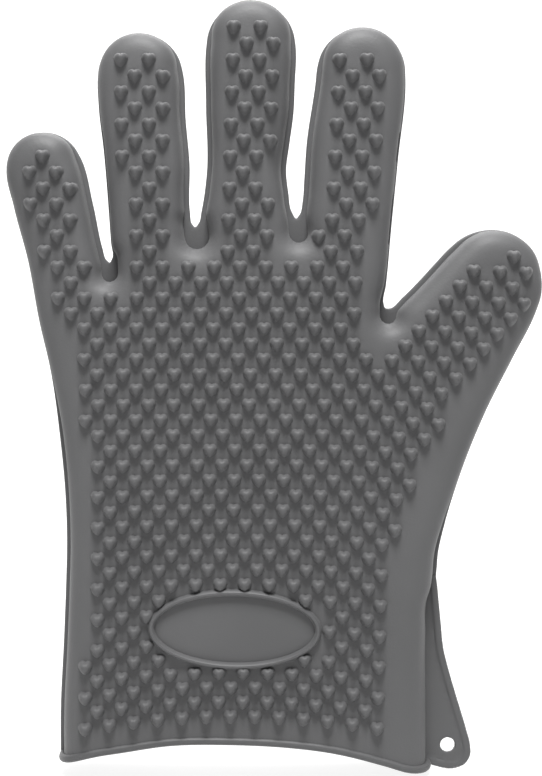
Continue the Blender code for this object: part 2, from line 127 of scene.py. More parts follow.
# where the bead's path has points round each corner, as shares of the rounded side
HEM_CORNER = (0.0, 0.008, 0.03, 0.07, 0.13, 0.21, 0.31, 0.43, 0.57, 0.75)

# Heart studs: rows a pitch apart up the glove, every other row shifted by half a column
STUD_ROW_ZERO = 165.65
STUD_ROW_PITCH = 5.230
STUD_ROW_GROWTH = 0.0058
FINGER_ROW_PITCH = 5.300
FINGER_ROW_GROWTH = 0.0085
STUD_LEFT_COLUMN = -63.65
STUD_COLUMN_PITCH = ((0, 8.683), (4, 8.63), (9, 8.46), (15, 8.354), (28, 8.205))
STUD_SPREAD = ((-80, -0.11), (-48, -0.07), (-16, 0.145), (19, 0.26), (28, 0.29))
STUD_LOWEST_ROW = 28
# how fast columns drift outwards, and the X beyond which they do; on the left only above a row
STUD_LEFT_DRIFT = 0.03
STUD_LEFT_DRIFT_FROM = -45
STUD_LEFT_DRIFT_ROWS = 6
STUD_RIGHT_DRIFT = 0.025
STUD_RIGHT_DRIFT_FROM = 20
# rows arch down towards the cuff's sides: by how much, around which X, and how far out from it
STUD_ROW_ARCH = 4.0
STUD_ARCH_MIDDLE = -13
STUD_ARCH_REACH = 49
# rows also drop towards the thumb
STUD_RIGHT_DROP = 0.036
STUD_RIGHT_DROP_FROM = 30
STUD_RIGHT_DROP_BELOW = 185
# the least distance of a stud's middle from the silhouette, and where each applies
STUD_LEAST_ON_PALM = 6.0
STUD_LEAST_ON_FINGERS = 6.2
STUD_LEAST_ON_PINKY = 5.6
STUD_LEAST_ON_THUMB = 5.0
STUD_LEAST_FROM_FOOT = 3.0
PALM_BELOW = 150
PINKY_LEFT_OF = -61
THUMB_RIGHT_OF = 45
MIDDLE_FINGER_X = -8
MIDDLE_FINGER_REACH = 15
STUD_ABOVE_CUFF = 4.2
STUD_HIGHEST_ROW = -15
STUD_BADGE_GAP = 1.2
STUD_ROWS = range(-17, STUD_LOWEST_ROW + 1)
STUD_COLUMNS = range(-3, 18)
STUD_RIGHT_LIMIT = ((66.1, 38.8), (76.5, 39.8), (91.4, 43.6), (106.6, 48.5), (121.4, 57.6), (127.0, 59.0),
                    (131.8, 62.0), (158.4, 86.0), (163.0, 100.0))
# smooth patches without studs: lowest and highest X, lowest and highest Z
STUD_GAPS = (
    (-61.0, -48.0, 168.0, 180.0), (-36.0, -17.5, 178.5, 190.0), (0.0, 13.0, 178.5, 190.0),
    (28.5, 52.5, 155.5, 161.0), (28.5, 47.5, 150.5, 155.5), (31.0, 42.0, 145.0, 150.5),
    (30.0, 50.0, 161.0, 190.0), (60.0, 78.0, 177.5, 190.0), (-100.0, -83.0, 205.0, 220.0),
    (-100.0, -75.0, 168.0, 176.0), (-57.0, -49.0, 178.0, 206.0), (-100.0, -66.0, 100.0, 160.0),
    (-100.0, -61.5, 46.2, 118.5), (-100.0, -66.5, 0.0, 46.2),
)
STUD_HEIGHT = 3.0
HEART = ((0.0, 1.80), (0.60, 2.03), (1.25, 2.02), (1.90, 1.62), (2.28, 0.85), (2.18, -0.05),
         (1.62, -1.10), (0.80, -1.90))
HEART_TIP = (0.0, -2.28)
# each ring of a stud: offset outwards, height above the skin, and how far it follows the skin's slope
HEART_RINGS = ((0.55, -0.30, 1.0), (0.18, 0.16, 1.0), (0.02, 0.55, 1.0), (-0.20, 1.40, 0.85),
               (-0.52, 2.10, 0.7), (-0.98, 2.62, 0.6), (-1.50, 2.90, 0.6))

# Badge
BADGE_CENTRE = (-13.0, 53.3)
BADGE_HALF_SIZE = (29.4, 13.5)
BADGE_TURN = math.radians(-1.2)
BADGE_RIM_WIDTH = 2.1
BADGE_POINTS = 120
# in from the badge's edge, and height above the skin
BADGE_RIM_PROFILE = (
    (-0.35, -0.2), (-0.1, 0.15), (0.1, 1.1), (0.35, 1.75), (0.8, 2.1), (BADGE_RIM_WIDTH - 0.7, 2.1),
    (BADGE_RIM_WIDTH - 0.3, 1.75), (BADGE_RIM_WIDTH, 0.9), (BADGE_RIM_WIDTH + 0.15, 0.3),
    (BADGE_RIM_WIDTH + 0.4, -0.2),
)
BADGE_FLOOR_PROFILE = (
    (BADGE_RIM_WIDTH + 0.05, 0.12), (BADGE_RIM_WIDTH + 0.9, 0.22), (BADGE_RIM_WIDTH + 3, 0.28), (6.0, 0.3),
    (9.0, 0.3),
)

# Hanging tab
TAB_OUTLINE = ((52.0, 71.2), (56.4, 70.6), (57.2, 67.5), (57.6, 63.5), (58.6, 53.0), (59.5, 44.3),
               (61.6, 35.8), (64.1, 27.2), (67.4, 16.1), (68.8, 10.6), (68.8, 7.0), (66.8, 3.9), (64.1, 2.7),
               (52.0, 4.4))
TAB_HOLE = (60.8, 10.8)
TAB_HOLE_RADIUS = 2.6
TAB_HOLE_POINTS = 28
TAB_MEMBRANE = 0.75
TAB_HOLE_EDGE = 0.6
TAB_FILL = 1.6
TAB_FILL_INSET = 3.4
# the rounded rim: in from the outline, and half thickness
TAB_RIM = ((0.15, 0.75), (0.5, 1.15), (1.0, 1.3), (2.0, 1.3), (2.4, 1.1), (2.8, 0.8))

SMOOTH_ANGLE = math.radians(35)
STUD_SMOOTH_ANGLE = math.radians(50)


def place(points):
    """Metres in the frame from millimetres (X, Y, Z) in the glove's own plane."""
    return np.asarray(points, float) / 1000 + SHIFT


def curve_through(points, step=0.25):
    """A smooth line through points, sampled closely."""
    points = np.asarray(points, float)
    lengths = np.linalg.norm(np.diff(points, axis=0), axis=1)
    tangents = np.zeros_like(points)
    before = (points[1:-1] - points[:-2]) / lengths[:-1, None]
    after = (points[2:] - points[1:-1]) / lengths[1:, None]
    share = (lengths[:-1] / (lengths[:-1] + lengths[1:]))[:, None]
    tangents[1:-1] = before * (1 - share) + after * share
    tangents[0] = (points[1] - points[0]) / lengths[0]
    tangents[-1] = (points[-1] - points[-2]) / lengths[-1]
    line = []
    for index, length in enumerate(lengths):
        count = max(int(length / step), 1)
        for part in range(count):
            s = part / count
            line.append(
                points[index] * (2 * s**3 - 3 * s**2 + 1) + points[index + 1] * (3 * s**2 - 2 * s**3)
                + tangents[index] * length * (s**3 - 2 * s**2 + s)
                + tangents[index + 1] * length * (s**3 - s**2)
            )
    line.append(points[-1])
    return np.array(line)


def thin_out(line, spacing, turn=math.radians(12), least=0.35):
    """Fewer points along a line: one every spacing, and more where it turns."""
    steps = np.diff(line, axis=0)
    headings = np.arctan2(steps[:, 1], steps[:, 0])
    lengths = np.linalg.norm(steps, axis=1)
    kept = [0]
    run = 0.0
    turned = 0.0
    for index in range(1, len(line) - 1):
        run += lengths[index - 1]
        change = headings[index] - headings[index - 1]
        turned += abs(math.remainder(change, 2 * math.pi))
        if run >= spacing or (turned >= turn and run >= least):
            kept.append(index)
            run = 0.0
            turned = 0.0
    kept.append(len(line) - 1)
    return line[kept]


def silhouette():
    points = []
    for kind, *values in SILHOUETTE:
        if kind == "points":
            points += values
        else:
            centre, radius, start, end = values
            count = round(abs(end - start) / TIP_TURN)
            for step in range(count + 1):
                turn = math.radians(start + (end - start) * step / count)
                points.append((centre[0] + radius * math.cos(turn), centre[1] + radius * math.sin(turn)))
    return thin_out(curve_through(points), 1.5)


SIDES = silhouette()


def line_distance(points, line):
    """Distance from points to the nearest part of a line."""
    best = np.full(len(points), np.inf)
    for start, end in zip(line[:-1], line[1:]):
        along = end - start
        share = np.clip((points - start) @ along / (along @ along), 0, 1)
        gap = points - start - share[:, None] * along
        best = np.minimum(best, np.einsum("ij,ij->i", gap, gap))
    return np.sqrt(best)


def inside(points, outline):
    """True for points inside a closed outline."""
    crossed = np.zeros(len(points), bool)
    for (x0, z0), (x1, z1) in zip(outline, np.roll(outline, -1, axis=0)):
        if z0 != z1:
            spans = (points[:, 1] > z0) != (points[:, 1] > z1)
            at = x0 + (points[:, 1] - z0) * (x1 - x0) / (z1 - z0)
            crossed ^= spans & (points[:, 0] < at)
    return crossed


def smooth_min(first, second):
    share = np.maximum(BLEND - np.abs(first - second), 0) / BLEND
    return np.minimum(first, second) - share * share * BLEND / 4


def edge_distance(points):
    """Distance in from the silhouette, negative outside."""
    return line_distance(points, SIDES) * np.where(inside(points, SIDES), 1, -1)


def flange_width(points):
    """How wide the flange is next to each point."""
    width = np.full(len(points), FLANGE)
    for centre, ahead, outer_side, side_reach in ENDS:
        out = points - centre
        away = np.linalg.norm(out, axis=1)
        along = out @ ahead
        across = out @ (ahead[1], -ahead[0]) * outer_side
        tip = np.clip((along / np.maximum(away, 1e-6) + 0.1) / 0.8, 0, 1) * (away < TIP_REACH)
        side = np.clip(across / SIDE_FADE, 0, 1) * np.clip((along + NARROW_REACH) / NARROW_FADE, 0, 1)
        side *= np.clip((side_reach + SIDE_REACH_FADE - across) / SIDE_REACH_FADE, 0, 1)
        share = np.maximum(tip, side)
        width -= (FLANGE - TIP_FLANGE) * share * share * (3 - 2 * share)
    return np.maximum(width, TIP_FLANGE)


def foot_distance(points):
    """Distance in from the foot of the hollow body, negative on the flange and the webs."""
    near = edge_distance(points) - flange_width(points)
    for start, end, radius in WEBS:
        near = smooth_min(near, line_distance(points, np.array((start, end))) - radius)
    return near


def half_depth(height):
    """Half the depth of the glove by height."""
    palm = CUFF_HALF_DEPTH + (KNUCKLE_HALF_DEPTH - CUFF_HALF_DEPTH) * np.clip(height / KNUCKLE_HEIGHT, 0, 1)
    rise = np.clip((height - KNUCKLE_HEIGHT) / (TIP_HEIGHT - KNUCKLE_HEIGHT), 0, 1)
    return palm + (TIP_HALF_DEPTH - KNUCKLE_HALF_DEPTH) * rise


def bulge(share):
    """The rounded side of the body: 0 at its foot and 1 where it is flat."""
    return (1 - (1 - np.clip(share, 0, 1)) ** ROUNDNESS) ** (1 / ROUNDNESS)


def skin_height(foot, height):
    return FLANGE_HALF + (half_depth(height) - FLANGE_HALF) * bulge(foot / EDGE_ROUND)


def lining_height(foot, height):
    return (half_depth(height) - WALL) * bulge((foot - WALL) / (EDGE_ROUND - WALL))


def rim_height(edge, half):
    return half * np.sqrt(1 - (1 - np.clip(edge / half, 0, 1)) ** 2)


CUFF_LINE = curve_through(CUFF_EDGE)


def cuff_edge(x):
    return np.interp(x, CUFF_LINE[:, 0], CUFF_LINE[:, 1])


def skin_end(x):
    """The skin stops inside the hem's bead."""
    return cuff_edge(x) + HEM_RADIUS


# --- contour lines of a field on a grid ---


def contours(xs, zs, values, level):
    """Chains of points where the field crosses a level."""
    above = values > level
    mixed = above[:-1, :-1].astype(int) + above[1:, :-1] + above[1:, 1:] + above[:-1, 1:]
    places = {}
    links = {}
    for i, j in np.argwhere((mixed > 0) & (mixed < 4)):
        corners = ((i, j), (i + 1, j), (i + 1, j + 1), (i, j + 1))
        hits = []
        for first, second in zip(corners, corners[1:] + corners[:1]):
            if above[first] != above[second]:
                key = (min(first, second), max(first, second))
                if key not in places:
                    share = (level - values[key[0]]) / (values[key[1]] - values[key[0]])
                    x = xs[key[0][0]] + (xs[key[1][0]] - xs[key[0][0]]) * share
                    z = zs[key[0][1]] + (zs[key[1][1]] - zs[key[0][1]]) * share
                    places[key] = (x, z)
                hits.append(key)
        for first, second in zip(hits[::2], hits[1::2]):
            links.setdefault(first, []).append(second)
            links.setdefault(second, []).append(first)
    chains = []
    unused = set(links)
    starts = [key for key in links if len(links[key]) == 1]
    while unused:
        here = starts.pop() if starts else next(iter(unused))
        if here not in unused:
            continue
        chain = []
        while here is not None:
            unused.discard(here)
            chain.append(places[here])
            here = next((key for key in links[here] if key in unused), None)
        closed = len(chain) > 3 and math.dist(chain[0], chain[-1]) < 3 * (xs[1] - xs[0])
        if closed:
            chain.append(chain[0])
        if len(chain) > 4:
            chains.append(np.array(chain))
    return chains


def even_out(chain, spacing):
    """The chain with points a spacing apart."""
    lengths = np.concatenate(([0], np.cumsum(np.linalg.norm(np.diff(chain, axis=0), axis=1))))
    count = max(round(lengths[-1] / spacing), 2)
    at = np.linspace(0, lengths[-1], count + 1)
    return np.column_stack((np.interp(at, lengths, chain[:, 0]), np.interp(at, lengths, chain[:, 1])))


class Plan:
    """Points in the plane with a height each, and the lines between them that the mesh must keep."""

    def __init__(self):
        self.points = []
        self.heights = []
        self.edges = []

    def add(self, points, heights, linked=False):
        first = len(self.points)
        self.points += [tuple(point) for point in points]
        self.heights += list(np.broadcast_to(heights, len(points)))
        if linked:
            self.edges += [(first + step, first + step + 1) for step in range(len(points) - 1)]
        return range(first, len(self.points))

    def ends_on_cuff(self, line):
        """Which of a line's two ends lie on the end of the skin at the cuff."""
        return [number for number in (line[0], line[-1])
                if abs(self.points[number][1] - skin_end(self.points[number][0])) < ON_CUFF]

    def triangles(self, outline):
        """Points, heights and triangles inside a closed outline of point numbers."""
        ring = list(outline)
        edges = self.edges + list(zip(ring, ring[1:] + ring[:1]))
        flat = [Vector(point) for point in self.points]
        points, _, faces, origins, _, _ = delaunay_2d_cdt(flat, edges, [], 1, 1e-5)
        heights = np.full(len(points), np.nan)
        for number, origin in enumerate(origins):
            if origin:
                heights[number] = self.heights[origin[0]]
        return np.array([tuple(point) for point in points]), heights, np.array(faces), origins


def above_cuff(chain):
    """The parts of a chain above the end of the skin, cut off exactly there."""
    parts = []
    part = []
    over = chain[:, 1] > skin_end(chain[:, 0]) + 0.02
    for index, point in enumerate(chain):
        if over[index]:
            if not part and index:
                part.append(cut_at_cuff(chain[index - 1], point))
            part.append(point)
        elif part:
            part.append(cut_at_cuff(point, part[-1]))
            parts.append(np.array(part))
            part = []
    if part:
        parts.append(np.array(part))
    return parts


def cut_at_cuff(low, high):
    for _ in range(24):
        middle = (np.asarray(low) + np.asarray(high)) / 2
        if middle[1] > skin_end(middle[0]):
            high = middle
        else:
            low = middle
    return np.array((middle[0], skin_end(middle[0])))


# How far in from the foot each line of the mesh runs, and the spacing of its points
SKIN_LINES = ((0.0, 1.5), (0.1, 1.5), (0.4, 1.5), (1.0, 1.6), (2.0, 1.8), (3.6, 2.0), (5.6, 2.3), (8.0, 2.6),
              (EDGE_ROUND, 3.0))
RIM_LINES = (0.1, 0.3, 0.7)
# The same for the lining, as shares of the way from its own foot to where the skin is flat
LINING_LINES = ((0.0, 2.6), (0.03, 2.6), (0.12, 2.8), (0.3, 3.0), (0.6, 3.6), (1.0, 4.5))
SKIN_FILL = 3.2
WEB_FILL = 1.5
LINING_FILL = 6.0
ON_CUFF = 0.01

GRID_STEP = 0.75
GRID_X = np.arange(-100, 101, GRID_STEP)
GRID_Z = np.arange(-12, 276, GRID_STEP)
GRID_POINTS = np.stack(np.meshgrid(GRID_X, GRID_Z, indexing="ij"), axis=-1).reshape(-1, 2)
GRID_FOOT = foot_distance(GRID_POINTS).reshape(len(GRID_X), len(GRID_Z))


def fill_points(spacing):
    """A staggered grid of points over the glove."""
    points = []
    rows = np.arange(0, 272, spacing * math.sqrt(3) / 2)
    for row, z in enumerate(rows):
        xs = np.arange(-96, 97, spacing) + (spacing / 2 if row % 2 else 0)
        points += [(x, z) for x in xs]
    return np.array(points)


def close_points(points, others, least):
    """True for points nearer than least to one of the others."""
    cells = {}
    for other in others:
        cells.setdefault((int(other[0] // least), int(other[1] // least)), []).append(other)
    near = []
    for point in points:
        i, j = int(point[0] // least), int(point[1] // least)
        near.append(any(
            math.dist(point, other) < least
            for di in (-1, 0, 1) for dj in (-1, 0, 1)
            for other in cells.get((i + di, j + dj), ())
        ))
    return np.array(near)


def half_skin():
    """One half of the outer skin: plane points, heights, triangles, and which points are on the rim."""
    plan = Plan()
    sides = [part for part in above_cuff(SIDES)][0]
    rim = plan.add(sides, 0.0, linked=True)
    tangents = np.gradient(sides, axis=0)
    normals = np.column_stack((tangents[:, 1], -tangents[:, 0]))
    normals /= np.linalg.norm(normals, axis=1)[:, None]
    cuff = []
    for offset in RIM_LINES:
        line = sides + normals * offset
        line[0] = (line[0][0], skin_end(line[0][0]))
        line[-1] = (line[-1][0], skin_end(line[-1][0]))
        ring = plan.add(line, rim_height(offset, FLANGE_HALF), linked=True)
        cuff += [ring[0], ring[-1]]
    for level, spacing in SKIN_LINES:
        for chain in contours(GRID_X, GRID_Z, GRID_FOOT, level):
            for part in above_cuff(chain):
                line = even_out(part, spacing)
                ring = plan.add(line, skin_height(level, line[:, 1]), linked=True)
                cuff += plan.ends_on_cuff(ring)
    taken = np.array(plan.points)
    flat = fill_points(SKIN_FILL)
    foot = foot_distance(flat)
    flat = flat[(foot > EDGE_ROUND + 0.6) & (flat[:, 1] > skin_end(flat[:, 0]) + 1.5)]
    flat = flat[~close_points(flat, taken, 1.6)]
    plan.add(flat, half_depth(flat[:, 1]))
    webs = fill_points(WEB_FILL)
    foot = foot_distance(webs)
    webs = webs[(foot < -0.6) & (foot > -9)]
    webs = webs[edge_distance(webs) > 1.3]
    webs = webs[~close_points(webs, taken, 0.7)]
    plan.add(webs, FLANGE_HALF)
    middle = np.arange(-58, 40, 2.5)
    line = np.column_stack((middle, skin_end(middle)))
    foot = foot_distance(line)
    line = line[foot > EDGE_ROUND + 0.8]
    cuff += plan.add(line, half_depth(line[:, 1]))
    cuff = sorted(set(cuff), key=lambda number: plan.points[number][0])
    cuff = [number for number in cuff if plan.points[number][0] not in (sides[0][0], sides[-1][0])]
    outline = list(rim) + cuff[::-1]
    points, heights, faces, origins = plan.triangles(outline)
    missing = np.isnan(heights)
    if missing.any():
        heights[missing] = skin_height(np.maximum(foot_distance(points[missing]), 0), points[missing][:, 1])
    wanted = set(rim)
    on_rim = np.array([any(o in wanted for o in origin) for origin in origins])
    return points, heights, faces, on_rim


def half_lining():
    """One half of the inner skin."""
    plan = Plan()
    cuff = []
    rim = None
    for share, spacing in LINING_LINES:
        level = WALL + share * (EDGE_ROUND - WALL)
        for chain in contours(GRID_X, GRID_Z, GRID_FOOT, level):
            for part in above_cuff(chain):
                line = even_out(part, spacing)
                ring = plan.add(line, lining_height(level, line[:, 1]), linked=True)
                if share == 0.0:
                    rim = ring
                else:
                    cuff += plan.ends_on_cuff(ring)
    taken = np.array(plan.points)
    flat = fill_points(LINING_FILL)
    foot = foot_distance(flat)
    flat = flat[(foot > EDGE_ROUND + 1.5) & (flat[:, 1] > skin_end(flat[:, 0]) + 2)]
    flat = flat[~close_points(flat, taken, 2.5)]
    plan.add(flat, half_depth(flat[:, 1]) - WALL)
    middle = np.arange(-56, 38, 4.0)
    line = np.column_stack((middle, skin_end(middle)))
    line = line[foot_distance(line) > EDGE_ROUND + 1.0]
    cuff += plan.add(line, half_depth(line[:, 1]) - WALL)
    cuff = sorted(set(cuff), key=lambda number: plan.points[number][0])
    rim = list(rim)
    if plan.points[rim[0]][0] > plan.points[rim[-1]][0]:
        rim.reverse()
    points, heights, faces, origins = plan.triangles(rim + cuff[::-1])
    missing = np.isnan(heights)
    if missing.any():
        heights[missing] = lining_height(foot_distance(points[missing]), points[missing][:, 1])
    wanted = set(rim)
    on_rim = np.array([any(o in wanted for o in origin) for origin in origins])
    return points, heights, faces, on_rim


# --- meshes from arrays ---


class Surface:
    """Vertices in the glove's millimetres, triangles, and a normal for each corner."""

    def __init__(self, vertices, faces, angle):
        self.vertices = np.asarray(vertices, float)
        self.faces = np.asarray(faces, int)
        mesh = bpy.data.meshes.new("work")
        mesh.from_pydata(self.vertices.tolist(), [], self.faces.tolist())
        mesh.update()
        mesh.set_sharp_from_angle(angle=angle)
        normals = np.zeros(len(self.faces) * 9)
        mesh.corner_normals.foreach_get("vector", normals)
        self.normals = normals.reshape(-1, 3, 3)
        bpy.data.meshes.remove(mesh)

    def part(self, keep):
        """Only some of the triangles."""
        piece = object.__new__(Surface)
        used, renumbered = np.unique(self.faces[keep], return_inverse=True)
        piece.vertices = self.vertices[used]
        piece.faces = renumbered.reshape(-1, 3)
        piece.normals = self.normals[keep]
        return piece


def make_piece(name, surfaces, material):
    """One object from several surfaces."""
    vertices = []
    faces = []
    normals = []
    first = 0
    for surface in surfaces:
        vertices.append(surface.vertices)
        faces.append(surface.faces + first)
        normals.append(surface.normals.reshape(-1, 3))
        first += len(surface.vertices)
    mesh = bpy.data.meshes.new(name)
    mesh.from_pydata(place(np.concatenate(vertices)).tolist(), [], np.concatenate(faces).tolist())
    mesh.update()
    for face in mesh.polygons:
        face.use_smooth = True
    mesh.normals_split_custom_set(np.concatenate(normals).tolist())
    mesh.materials.append(material)
    piece = bpy.data.objects.new(name, mesh)
    bpy.context.scene.collection.objects.link(piece)
    return piece


def facing(points, faces):
    """The triangles turned so that they face -Y."""
    a, b, c = (points[faces[:, corner]] for corner in range(3))
    area = (b[:, 0] - a[:, 0]) * (c[:, 1] - a[:, 1]) - (b[:, 1] - a[:, 1]) * (c[:, 0] - a[:, 0])
    faces = faces[np.abs(area) > 1e-9]
    area = area[np.abs(area) > 1e-9]
    faces[area < 0] = faces[area < 0][:, ::-1]
    return faces


def both_halves(points, heights, faces, on_rim, outward=True):
    """Front and back joined at the rim. Returns vertices, faces, and which faces are in front."""
    count = len(points)
    front = np.column_stack((points[:, 0], -heights, points[:, 1]))
    back = np.column_stack((points[:, 0], heights, points[:, 1]))
    number = np.arange(count)
    back_number = np.where(on_rim, number, number + count)
    front_faces = facing(points, faces)
    back_faces = back_number[front_faces][:, ::-1]
    every = np.concatenate((front_faces, back_faces))
    if not outward:
        every = every[:, ::-1]
    in_front = np.arange(len(every)) < len(front_faces)
    return np.concatenate((front, back)), every, in_front


def cuff_flange_ends(points, heights):
    """Closes the flange where it stops at the cuff."""
    strips = []
    low = np.abs(points[:, 1] - skin_end(points[:, 0])) < ON_CUFF
    flange = low & (heights <= FLANGE_HALF + 0.001)
    for side in (-1, 1):
        run = np.where(flange & (points[:, 0] * side > 0))[0]
        run = run[np.argsort(points[run, 0])]
        strips.append(run)
    return strips


# --- studs ---


def heart_outline():
    right = list(HEART)
    left = [(-x, z) for x, z in reversed(HEART[1:])]
    return np.array(right + [HEART_TIP] + left)


def stud_lattice():
    """A staggered lattice that spreads a little up the fingers: X, Z and row of every place for a stud."""
    places = []
    for row in STUD_ROWS:
        up = -row if row < 0 else 0
        down = row if row > 0 else 0
        z_row = STUD_ROW_ZERO - STUD_ROW_PITCH * down + STUD_ROW_GROWTH * down * down
        z_row += FINGER_ROW_PITCH * up + FINGER_ROW_GROWTH * up * up
        pitch = np.interp(down, *zip(*STUD_COLUMN_PITCH))
        for column in STUD_COLUMNS:
            x = STUD_LEFT_COLUMN + pitch * (column + (row % 2) / 2)
            spread = np.interp(x, *zip(*STUD_SPREAD)) * up
            right_drift = STUD_RIGHT_DRIFT * max(x - STUD_RIGHT_DRIFT_FROM, 0)
            left_drift = STUD_LEFT_DRIFT * max(STUD_LEFT_DRIFT_FROM - x, 0) * (row < STUD_LEFT_DRIFT_ROWS)
            x += spread + right_drift - left_drift
            out = (x - STUD_ARCH_MIDDLE) / STUD_ARCH_REACH
            z = z_row - STUD_ROW_ARCH * out ** 2 * (down / STUD_LOWEST_ROW) ** 2
            if z < STUD_RIGHT_DROP_BELOW:
                z -= STUD_RIGHT_DROP * max(x - STUD_RIGHT_DROP_FROM, 0)
            places.append((x, z, row))
    return np.array(places)


def stud_places():
    """Centres of the studs: the places of the lattice that are clear of edges and smooth patches."""
    places = stud_lattice()
    centres = places[:, :2]
    rows = places[:, 2]
    x, z = centres.T
    on_fingers = np.where(x > THUMB_RIGHT_OF, STUD_LEAST_ON_THUMB, STUD_LEAST_ON_FINGERS)
    on_fingers = np.where(x < PINKY_LEFT_OF, STUD_LEAST_ON_PINKY, on_fingers)
    least = np.where(z < PALM_BELOW, STUD_LEAST_ON_PALM, on_fingers)
    keep = (edge_distance(centres) > least) & (foot_distance(centres) > STUD_LEAST_FROM_FOOT)
    keep &= x < np.interp(z, *zip(*STUD_RIGHT_LIMIT))
    keep &= z > skin_end(x) + STUD_ABOVE_CUFF
    keep &= (rows >= STUD_HIGHEST_ROW) | (np.abs(x - MIDDLE_FINGER_X) < MIDDLE_FINGER_REACH)
    for low_x, high_x, low_z, high_z in STUD_GAPS:
        keep &= ~((x > low_x) & (x < high_x) & (z > low_z) & (z < high_z))
    return centres[keep]


def badge_share(points, margin):
    """Under 1 for points within a margin of the badge."""
    x = (points[:, 0] - BADGE_CENTRE[0]) / (BADGE_HALF_SIZE[0] + margin)
    z = (points[:, 1] - BADGE_CENTRE[1]) / (BADGE_HALF_SIZE[1] + margin)
    return np.hypot(x, z)


def studs(centres, side):
    """Heart studs on one side of the glove: -1 for the palm side, 1 for the back."""
    outline = heart_outline()
    count = len(outline)
    middle = outline.mean(axis=0)
    reach = np.linalg.norm(outline - middle, axis=1).mean()
    centre_heights = skin_height(foot_distance(centres), centres[:, 1])
    vertices = []
    for offset, lift, follow in HEART_RINGS:
        ring = middle + (outline - middle) * (1 + offset / reach)
        plane = (centres[:, None, :] + ring[None, :, :]).reshape(-1, 2)
        local = skin_height(np.maximum(foot_distance(plane), 0), plane[:, 1]).reshape(-1, count)
        heights = local * follow + centre_heights[:, None] * (1 - follow) + lift
        solid = np.column_stack((plane[:, 0], side * heights.ravel(), plane[:, 1]))
        vertices.append(solid.reshape(-1, count, 3))
    tops = centres + middle
    top = np.column_stack((tops[:, 0], side * (centre_heights + STUD_HEIGHT), tops[:, 1]))
    stack = np.concatenate([*vertices, top[:, None, :]], axis=1)
    size = stack.shape[1]
    faces = []
    for level in range(len(HEART_RINGS) - 1):
        for step in range(count):
            here = level * count + step
            beside = level * count + (step + 1) % count
            faces += [(here, beside, beside + count), (here, beside + count, here + count)]
    last = (len(HEART_RINGS) - 1) * count
    faces += [(last + step, last + (step + 1) % count, size - 1) for step in range(count)]
    faces = np.array(faces)
    if side > 0:
        faces = faces[:, ::-1]
    every = (faces[None] + (np.arange(len(centres)) * size)[:, None, None]).reshape(-1, 3)
    surface = Surface(stack.reshape(-1, 3), every, STUD_SMOOTH_ANGLE)
    owner = np.repeat(np.arange(len(centres)), len(faces))
    return surface, owner


# --- digits ---


class Digit:
    """The stretch of a finger or thumb beyond the palm, and the zones where it bends."""

    def __init__(self, name, parts, half_width):
        joints = [JOINTS[f"{name}_{part}_bend"] for part in parts]
        self.name = name
        self.parts = parts
        self.half_width = half_width
        axis = joints[0]["axis"]
        self.along = np.array((-axis[2], axis[0]))
        self.across = np.array((axis[0], axis[2]))
        places = [(np.array(joint["pos_m"]) - SHIFT) * 1000 for joint in joints]
        self.folds = [place_mm[[0, 2]] @ self.along for place_mm in places]
        self.middle = places[0][[0, 2]] @ self.across
        halves = [(after - before) / 2 for before, after in zip(self.folds, self.folds[1:])]
        self.zones = [self.folds[0] - halves[0]]
        self.zones += [fold + half for fold, half in zip(self.folds, halves)]
        self.zones.append(self.folds[-1] + halves[-1])

    def owns(self, points):
        """Which piece of this digit each point belongs to, or -1 for none."""
        along = points @ self.along
        across = points @ self.across - self.middle
        number = np.full(len(points), -1)
        beside = np.abs(across) < self.half_width
        for index, start in enumerate(self.zones[:-1]):
            number[beside & (along > start)] = index
        return number

    def point(self, along):
        plane = self.along * along + self.across * self.middle
        return tuple(place((plane[0], 0, plane[1])))


DIGITS = (
    Digit("pinky", ("base", "middle", "tip"), 17.0),
    Digit("ring", ("base", "middle", "tip"), 17.0),
    Digit("middle", ("base", "middle", "tip"), 17.0),
    Digit("index", ("base", "middle", "tip"), 17.0),
    Digit("thumb", ("base", "tip"), 25.5),
)


def owners(points):
    """For each point, the number of its digit and of the piece of it, or -1 for the palm."""
    digit_number = np.full(len(points), -1)
    piece_number = np.full(len(points), -1)
    for index, digit in enumerate(DIGITS):
        number = digit.owns(points)
        mine = number >= 0
        digit_number[mine] = index
        piece_number[mine] = number[mine]
    return digit_number, piece_number


# --- materials ---


CLOUD_SCALE = 28
CLOUD_DEPTH = 0.07
GLOSS_DEPTH = 0.07
GRAIN_SCALE = 1400
GRAIN_RELIEF = 0.0003


